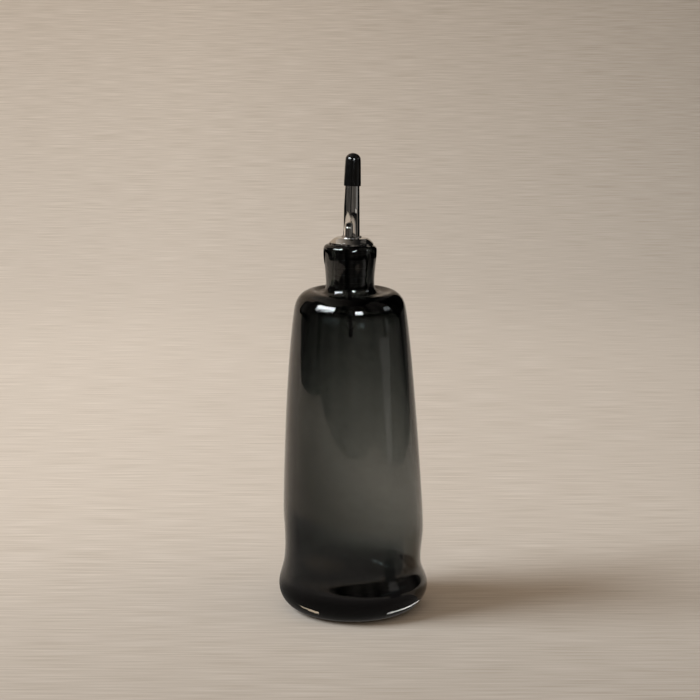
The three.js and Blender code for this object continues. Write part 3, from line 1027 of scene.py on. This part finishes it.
def glow_material(material_name, colour, strength=1.0):
    """Makes a material that glows in mirrors, and that every other ray passes through."""
    material, tree, shader = new_material(material_name)
    tree.nodes.remove(shader)
    path = put(tree, "LightPath", {}).outputs
    is_mirrored = calc(tree, "GREATER_THAN", path["Glossy Depth"], 0.5)
    is_clean = calc(tree, "LESS_THAN", path["Diffuse Depth"], 0.5)
    is_seen = calc(tree, "MULTIPLY", is_mirrored, is_clean)
    glow = put(tree, "Emission", {"Color": colour, "Strength": strength}).outputs[0]
    passing = put(tree, "BsdfTransparent", {}).outputs[0]
    choice = put(tree, "MixShader", {0: is_seen, 1: passing, 2: glow}).outputs[0]
    tree.links.new(choice, tree.nodes["Material Output"].inputs["Surface"])
    return material


def set_glow(material, inputs):
    """Changes the glow of such a material."""
    feed(material.node_tree, material.node_tree.nodes["Emission"], inputs)


def show_only(material, share):
    """Lets such a material show only by a share."""
    tree = material.node_tree
    choice = tree.nodes["Mix Shader"]
    was_seen = choice.inputs[0].links[0].from_socket
    feed(tree, choice, {0: calc(tree, "MULTIPLY", was_seen, share)})


def mirror_only(made):
    """Keeps a stage card out of the picture, the shadows and the light on matt surfaces."""
    made.visible_camera = False
    made.visible_diffuse = False
    made.visible_volume_scatter = False
    made.visible_shadow = False
    return made


def card(card_name, corners, material):
    """Makes one flat card that only mirrors see."""
    return mirror_only(stage_mesh(card_name, corners, [tuple(range(len(corners)))], material))


# %% [markdown]
# The dark cards stand in front and at both sides. Streaks in their dim brown keep the mirrored room from
# looking painted, and the outlines of the side cards draw the rounded ends of the dark shapes in the
# glass. Two black cards before them deepen the steel, and a small dim one stands low by the heel.

# %% Stand dark cards round the table
NEAR_BLACK = (0.004, 0.004, 0.004, 1)
ROOM_BLACK = (0.006, 0.006, 0.006, 1)
ROOM_BROWN = (0.11, 0.10, 0.09, 1)
LOW_DIM = (0.10, 0.097, 0.094, 1)
STREAK_SCALE = (3.0, 3.0, 0.2)
STREAK_SPAN = (0.40, 0.60)
TABLE_FRONT = -0.70
TABLE_LEFT = -1.05
TABLE_RIGHT = 0.56
CARD_TOP = 2.5
# Outlines of the side cards, as (distance back, height) in metres.
LEFT_FOOT = [(TABLE_FRONT, 0), (0.2, 0), (0.5, 0.12), (0.5, 0.16), (0.75, 0.22), (0.75, 1.0), (0.5, 1.0)]
LEFT_OUTLINE = LEFT_FOOT + [(0.5, CARD_TOP), (TABLE_FRONT, CARD_TOP)]
RIGHT_OUTLINE = [(TABLE_FRONT, 0), (0.35, 0), (1.6, 0.24), (1.6, CARD_TOP), (TABLE_FRONT, CARD_TOP)]
BLACK_GAP = 0.01
BLACK_NEAR = 0.06
BLACK_LOW = 0.155
LEFT_BLACK = (0.7, 0.215)
RIGHT_BLACK = (1.6, 0.9)
LOW_FRONT = (67 * MM, -65 * MM)
LOW_BACK = (75 * MM, -42 * MM)
LOW_SPAN = (6 * MM, 27 * MM)


def upright(start, end, low, high):
    """The corners of an upright card between two places on the table."""
    return [(*start, low), (*end, low), (*end, high), (*start, high)]


black_room = glow_material("black_room", NEAR_BLACK)
dim_card = glow_material("dim_card", LOW_DIM)
dark_room = glow_material("dark_room", ROOM_BROWN)
tree = dark_room.node_tree
streaks = cloud(tree, stretch(tree, place_in(tree), STREAK_SCALE), 1.0, 4.0)
set_glow(dark_room, {"Color": blend(tree, ramp(tree, streaks, STREAK_SPAN), ROOM_BLACK, ROOM_BROWN)})

front_ends = ((TABLE_LEFT, TABLE_FRONT), (TABLE_RIGHT, TABLE_FRONT))
card("front_card", upright(*front_ends, 0, CARD_TOP), dark_room)
card("left_card", [(TABLE_LEFT, *corner) for corner in LEFT_OUTLINE], dark_room)
card("right_card", [(TABLE_RIGHT, *corner) for corner in RIGHT_OUTLINE], dark_room)
for card_name, side, (far, high) in (
    ("left_black", TABLE_LEFT + BLACK_GAP, LEFT_BLACK),
    ("right_black", TABLE_RIGHT - BLACK_GAP, RIGHT_BLACK),
):
    card(card_name, upright((side, BLACK_NEAR), (side, far), BLACK_LOW, high), black_room)
card("low_card", upright(LOW_FRONT, LOW_BACK, *LOW_SPAN), dim_card)
print("six dark cards stand round the table")

# %% [markdown]
# The collar's sloping top looks straight up. Over it hangs a ceiling that is as bright as the room on the
# window side and grows dark towards the right, so the steel gets a slow change of tone and no hard edge.

# %% Hang the ceiling
CEILING_HEIGHT = 1.4
CEILING_LEFT = -0.9
CEILING_RIGHT = 2.4
CEILING_FRONT = -1.2
CEILING_BACK = 2.4
CEILING_SPAN = (CEILING_LEFT, 0.5)
CEILING_FALL = 2.2
CEILING_BLACK = (0.008, 0.008, 0.008, 1)

ceiling = glow_material("ceiling", ROOM_GLOW)
tree = ceiling.node_tree
nearness = ramp(tree, split(tree, place_in(tree))["X"], CEILING_SPAN, (1.0, 0.0))
dimming = calc(tree, "POWER", nearness, CEILING_FALL)
set_glow(ceiling, {"Color": blend(tree, dimming, CEILING_BLACK, ROOM_GLOW)})
ceiling_corners = [
    (CEILING_LEFT, CEILING_FRONT, CEILING_HEIGHT),
    (CEILING_RIGHT, CEILING_FRONT, CEILING_HEIGHT),
    (CEILING_RIGHT, CEILING_BACK, CEILING_HEIGHT),
    (CEILING_LEFT, CEILING_BACK, CEILING_HEIGHT),
]
card("ceiling_card", ceiling_corners, ceiling)
print("the ceiling hangs", CEILING_HEIGHT, "m up")

# %% [markdown]
# The windows are curved panels at the directions from which the highlights come: a wide one on the left
# with a bright sky above and broken leaves below, a small one in front, and a faint one on the right.

# %% Hang the windows
EYE_HEIGHT = 0.17
PANEL_STEPS = 12
WINDOW_REACH = 0.65
SIDE_REACH = 0.5
LEAF_SIZE = 0.06
FAINT_LEAF_SIZE = 0.1
SKY_SPAN = (0.72, 1.1)
SKY_TINT = (0.92, 0.97, 1.0, 1)
BRIGHT_SKY = 24.0
FAINT_SKY = 2.0


def around(reach, azimuth, height):
    """A place round the cruet, in a direction (0 is the front) and at a height."""
    turn = math.radians(azimuth)
    return (reach * math.sin(turn), -reach * math.cos(turn), height)


def panel(panel_name, reach, azimuths, rises, material):
    """Bends a panel round the cruet, between two directions and two rises."""
    heights = [EYE_HEIGHT + reach * math.tan(math.radians(rise)) for rise in rises]
    pairs = []
    for step in range(PANEL_STEPS + 1):
        azimuth = between(*azimuths, step / PANEL_STEPS)
        pairs.append([around(reach, azimuth, height) for height in heights])
    made = mirror_only(band(panel_name, pairs, material))
    chart = made.data.uv_layers.new(name="chart")
    for loop in made.data.loops:
        step, row = divmod(loop.vertex_index, 2)
        chart.data[loop.index].uv = (step / PANEL_STEPS, row)
    return made


def window_material(material_name, brightness, leaf_size):
    """A window whose upper part is bright sky and whose lower part is broken by leaves."""
    material = glow_material(material_name, SKY_TINT)
    tree = material.node_tree
    height = split(tree, put(tree, "TexCoord", {}).outputs["UV"])["Y"]
    torn = calc(tree, "ADD", cloud(tree, place_in(tree), 1 / leaf_size, 5.0), height)
    is_first = calc(tree, "LESS_THAN", put(tree, "LightPath", {}).outputs["Glossy Depth"], 1.5)
    seen_sky = calc(tree, "MULTIPLY", ramp(tree, torn, SKY_SPAN), is_first)
    set_glow(material, {"Strength": calc(tree, "MULTIPLY", seen_sky, brightness)})
    return material


bright_window = window_material("bright_window", BRIGHT_SKY, LEAF_SIZE)
faint_window = window_material("faint_window", FAINT_SKY, FAINT_LEAF_SIZE)
panel("left_window", WINDOW_REACH, (-82, -37), (10, 44), bright_window)
panel("front_window", WINDOW_REACH, (10, 26), (9, 30), bright_window)
panel("right_window", SIDE_REACH, (78, 94), (8, 28), faint_window)
print("three windows hang round the cruet")

# %% [markdown]
# A mirror's edges show what stands behind it, so a polished tube before a pale backdrop seems to lose its
# outline. Photographers draw the outline back with flags, which are black cards out of the picture. Here
# they lie level on either side, and their undersides are clear, so that the tube above them sees black
# and the shoulder below them sees none. A curved flag in front draws the edge between the pale table and
# the dark room in the spout's lower half.

# %% Hold black flags round the pourer
FRONT_REACH = 0.12
FRONT_TOP = 0.197
# The curved flag's low edge, as direction in degrees and height in metres.
FRONT_EDGE = [(-13, 0.190), (10, 0.186), (34, 0.183), (62, 0.185), (72, 0.165), (85, 0.160)]
# The level flags: directions in degrees, near and far edge and height in metres.
level_flags = {
    "left_flag": ((-150, -86), (0.17, 1.2), 0.190),
    "edge_flag": ((-175, -130), (0.06, 0.2), 0.185),
    "right_flag": ((98, 175), (0.06, 1.2), 0.190),
}

front_pairs = [
    [around(FRONT_REACH, azimuth, height) for height in (low, FRONT_TOP)] for azimuth, low in FRONT_EDGE
]
mirror_only(band("front_flag", front_pairs, black_room))
level_black = glow_material("level_black", NEAR_BLACK)
tree = level_black.node_tree
underside = put(tree, "NewGeometry", {}).outputs["Backfacing"]
show_only(level_black, calc(tree, "SUBTRACT", 1.0, underside))
for flag_name, ((start, end), (near, far), height) in level_flags.items():
    rim = ((far, start), (far, end), (near, end), (near, start))
    card(flag_name, [around(reach, azimuth, height) for reach, azimuth in rim], level_black)
print(len(level_flags) + 1, "black flags lie round the pourer")

# %% [markdown]
# Close to its foot the bottle takes most of the light from the cloth, and the thick heel mirrors just that
# dim ring. It also gathers the window's light into two thin bright lines on the cloth under its edge.
# Neither shows from above, so both are painted for the mirror alone: a ring of painted shade with a low
# wall that fades out upwards, and two thin arcs of painted light that glow.

# %% Lay the ring of painted shade and the painted bright lines round the foot
RING_STEPS = 72
RING_INSIDE = 30 * MM
RING_OUTSIDE = 200 * MM
RING_LIFT = 0.3 * MM
RING_TURNS = (-200, 80)
RING_TINT = (1.0, 0.92, 0.84, 1)
DIM_SPAN = (60 * MM, RING_OUTSIDE)
DIM_LIGHT = (0.12, 0.32)
WALL_HEIGHT = 17 * MM
WALL_SPAN = (7 * MM, WALL_HEIGHT)
WALL_TURNS = (-200, 45)
WALL_TINT = (0.32, 0.295, 0.27, 1)
BACK_SPAN = (20 * MM, 140 * MM)
GLINT_LIFT = 0.5 * MM
# The painted bright lines: directions in degrees, inner and outer radius at both ends in millimetres,
# colour, glow.
glints = {
    "left_glint": ((-56, -33), (43.4, 38.6), (44.6, 41.8), (1.0, 0.80, 0.58, 1), 5.5),
    "right_glint": ((33, 84), (38.4, 41.4), (40.2, 42.3), (1.0, 0.97, 0.93, 1), 5.0),
}


def ring_sheet(sheet_name, low_edge, high_edge, turns, material):
    """Makes a curved sheet between two edges of (radius at the start, radius at the end, height)."""
    pairs = []
    for step in range(RING_STEPS + 1):
        share = step / RING_STEPS
        turn = between(*turns, share)
        edges = (low_edge, high_edge)
        pairs.append([around(between(start, end, share), turn, height) for start, end, height in edges])
    return mirror_only(band(sheet_name, pairs, material))


# Painted shade for the mirror: the dim ring and its low wall.
painted_shade_ring = glow_material("painted_shade_ring", RING_TINT)
painted_shade_wall = glow_material("painted_shade_wall", WALL_TINT)
for material in (painted_shade_ring, painted_shade_wall):
    tree = material.node_tree
    show_only(material, ramp(tree, split(tree, place_in(tree))["Y"], BACK_SPAN, (1.0, 0.0)))
tree = painted_shade_wall.node_tree
show_only(painted_shade_wall, ramp(tree, split(tree, place_in(tree))["Z"], WALL_SPAN, (1.0, 0.0)))
tree = painted_shade_ring.node_tree
distance = put(tree, "VectorMath", {0: place_in(tree)}, operation="LENGTH").outputs["Value"]
set_glow(painted_shade_ring, {"Strength": ramp(tree, distance, DIM_SPAN, DIM_LIGHT)})
inside, outside = RING_INSIDE, RING_OUTSIDE
ring_sheet("dim_ring", (inside, inside, RING_LIFT), (outside, outside, RING_LIFT), RING_TURNS, painted_shade_ring)
ring_sheet("dim_wall", (outside, outside, 0), (outside, outside, WALL_HEIGHT), WALL_TURNS, painted_shade_wall)
# Painted light for the mirror: the two glowing arcs.
for glint_name, (turns, inner, outer, colour, strength) in glints.items():
    low_edge = (inner[0] * MM, inner[1] * MM, GLINT_LIFT)
    high_edge = (outer[0] * MM, outer[1] * MM, GLINT_LIFT)
    ring_sheet(glint_name, low_edge, high_edge, turns, glow_material(glint_name, colour, strength))
print("the foot has a dim ring and", len(glints), "bright lines")

# %% [markdown]
# Two pale shapes on the right draw the soft upright lines down that side of the glass and the steel: a low
# card close to the table, and a tall faint panel above it.

# %% Stand the pale shapes
PALE_TINT = (0.45, 0.43, 0.40, 1)
STRIP_TINT = (0.26, 0.26, 0.255, 1)
PALE_CORNERS = [(0.44, -0.234, 0.02), (0.47, -0.17, 0.02), (0.49, -0.104, 0.15), (0.415, -0.28, 0.16)]

card("stripe_card", PALE_CORNERS, glow_material("pale_card", PALE_TINT))
panel("strip_window", SIDE_REACH, (73, 88), (-1.2, 15), glow_material("strip_light", STRIP_TINT))
print("two pale shapes stand on the right")
